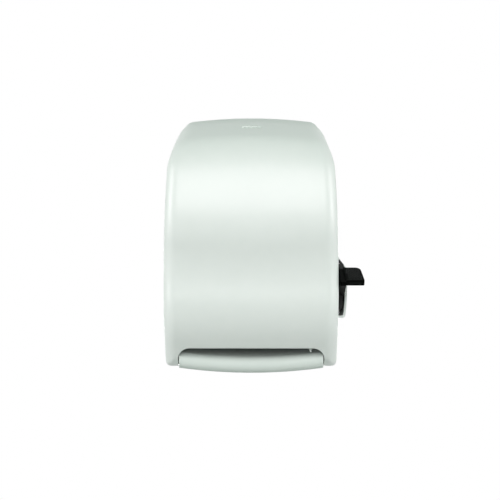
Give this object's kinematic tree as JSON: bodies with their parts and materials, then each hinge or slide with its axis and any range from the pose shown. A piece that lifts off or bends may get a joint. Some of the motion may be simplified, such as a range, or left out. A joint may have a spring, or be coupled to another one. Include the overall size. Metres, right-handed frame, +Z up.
{
  "type": "lever paper towel dispenser",
  "caption": "Wall-mounted lever dispenser for a paper towel roll: hinged S-curved cover, side lever geared to a feed roller, toothed tear bar and a lower tray.",
  "frame": {"origin": "centre of the four wall screw holes, on the wall plane", "axes": "+Y points into the wall, so the front faces -Y; +Z is up; +X is to the right, seen from the front"},
  "size_m": [0.3262, 0.2351, 0.4173],
  "materials": {
    "cover_white": "gloss, pearl white",
    "housing_white": "satin",
    "lever_black": "fine grain",
    "frame_grey": "satin",
    "steel": "brushed",
    "rubber": "matt",
    "nylon": "satin",
    "clip_white": "satin"
  },
  "bodies": {
    "chassis": {"back_housing": "housing_white", "outlet_tray": "cover_white", "lever_shroud": "cover_white", "left_frame": "frame_grey", "right_frame": "frame_grey", "left_bush": "nylon", "right_bush": "nylon", "pinch_pivot_shaft": "steel", "paper_guide": "frame_grey", "tear_bar": "steel", "tear_bar_screws": "steel", "tear_bar_end_clip": "clip_white", "lever_axle": "steel", "axle_clip": "steel", "lever_bumper": "rubber", "hinge_pins": "steel", "right_roll_arm": "frame_grey", "right_roll_stud": "steel", "arm_hinge_bracket": "frame_grey", "arm_hinge_pin": "steel", "frame_screws": "steel", "roll_arm_screws": "steel", "lever_spring": "steel", "arm_spring": "steel", "pinch_springs": "steel"},
    "cover": {"front_cover": "cover_white", "lock_body": "cover_white", "lock_nut": "steel"},
    "lock": {"lock_plug": "cover_white", "lock_cam": "steel", "cam_screw": "steel"},
    "lever": {"lever_handle": "lever_black", "sector_gear": "nylon"},
    "clutch": {"one_way_clutch": "steel", "drive_pinion": "nylon"},
    "feed_roller": {"feed_shaft": "nylon", "feed_sleeves": "rubber", "feed_shaft_clips": "steel"},
    "pinch_frame": {"pinch_carrier": "frame_grey"},
    "pinch_roll": {"pinch_roller": "rubber"},
    "left_arm": {"left_roll_arm": "frame_grey", "left_roll_stud": "steel"},
    "left_hub": {"left_roll_hub": "nylon"},
    "right_hub": {"right_roll_hub": "nylon"}
  },
  "joints": [
    {"name": "cover_hinge", "type": "hinge", "parent": "chassis", "child": "cover", "pos_m": [0, -0.0946, -0.1845], "axis": [1, 0, 0], "range_deg": [0, 90]},
    {"name": "lock_turn", "type": "hinge", "parent": "cover", "child": "lock", "pos_m": [0, -0.098, 0.18], "axis": [0, 0, 1], "range_deg": [0, 90]},
    {"name": "lever_swing", "type": "hinge", "parent": "chassis", "child": "lever", "pos_m": [0, -0.095, -0.07], "axis": [1, 0, 0], "range_deg": [0, 50], "stiffness_Nm_per_rad": 0.2, "springref_deg": -85.94, "deforming": ["lever_spring"]},
    {"name": "clutch_turn", "type": "hinge", "parent": "chassis", "child": "clutch", "pos_m": [0, -0.12275, -0.11806], "axis": [1, 0, 0], "range_deg": [-214.29, 0]},
    {"name": "feed_turn", "type": "hinge", "parent": "chassis", "child": "feed_roller", "pos_m": [0, -0.12275, -0.11806], "axis": [1, 0, 0], "range_deg": [-214.29, 0]},
    {"name": "pinch_swing", "type": "hinge", "parent": "chassis", "child": "pinch_frame", "pos_m": [0, -0.08228, -0.09443], "axis": [1, 0, 0], "range_deg": [0, 8], "stiffness_Nm_per_rad": 1, "springref_deg": -11.46, "deforming": ["pinch_springs"]},
    {"name": "pinch_turn", "type": "hinge", "parent": "pinch_frame", "child": "pinch_roll", "pos_m": [0, -0.09428, -0.12843], "axis": [1, 0, 0], "range_deg": [0, 370.13]},
    {"name": "left_arm_swing", "type": "hinge", "parent": "chassis", "child": "left_arm", "pos_m": [-0.1073, -0.012, 0.084], "axis": [0, 0, -1], "range_deg": [0, 8], "stiffness_Nm_per_rad": 1, "springref_deg": -17.19, "deforming": ["arm_spring"]},
    {"name": "left_hub_turn", "type": "hinge", "parent": "left_arm", "child": "left_hub", "pos_m": [-0.1, -0.118, 0.084], "axis": [1, 0, 0], "continuous": true},
    {"name": "right_hub_turn", "type": "hinge", "parent": "chassis", "child": "right_hub", "pos_m": [0.1, -0.118, 0.084], "axis": [1, 0, 0], "continuous": true}
  ],
  "couplings": [
    {"joint": "clutch_turn", "follows": "lever_swing", "ratio": -4.2857},
    {"joint": "feed_turn", "follows": "lever_swing", "ratio": -4.2857},
    {"joint": "pinch_turn", "follows": "lever_swing", "ratio": 7.4026}
  ]
}
